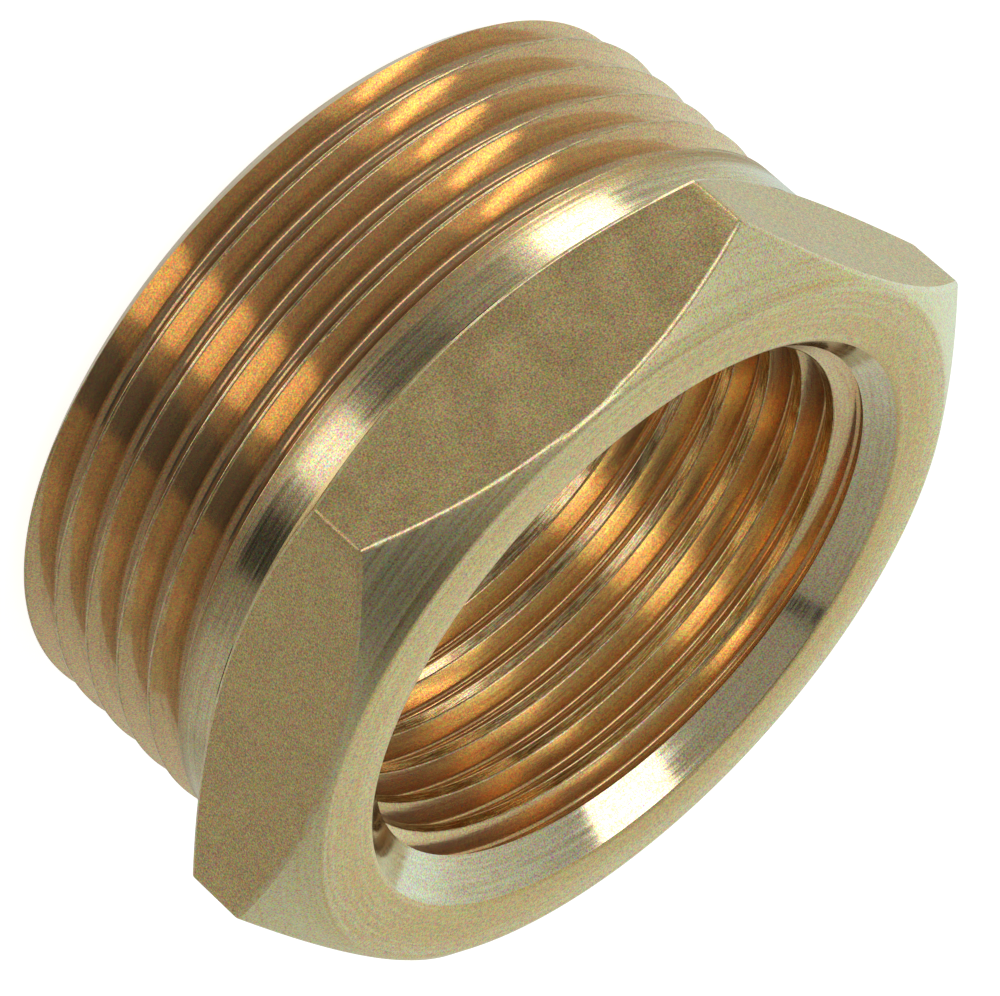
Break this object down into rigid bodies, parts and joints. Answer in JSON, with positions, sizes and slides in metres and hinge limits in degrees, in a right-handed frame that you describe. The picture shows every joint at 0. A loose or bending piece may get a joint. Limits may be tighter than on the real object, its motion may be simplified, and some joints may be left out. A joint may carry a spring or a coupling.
{
  "type": "hexagon reducing bush",
  "caption": "Brass pipe reducer: hexagon head with a parallel pipe thread outside and a smaller parallel pipe thread inside, used to step a line down in size.",
  "frame": {"origin": "on the common axis of both threads, at the end of the outside thread", "axes": "+Z runs along the axis from the outside thread's end to the hexagon's face, +X runs through a corner of the hexagon, +Y faces one of its flats"},
  "size_m": [0.0484, 0.042, 0.0226],
  "materials": {
    "brass_body": "turned and left bright on the threads, shank and face, fine matte grain on the hexagon's flats"
  },
  "bodies": {
    "root": {"reducer_body": "brass_body"}
  },
  "joints": []
}
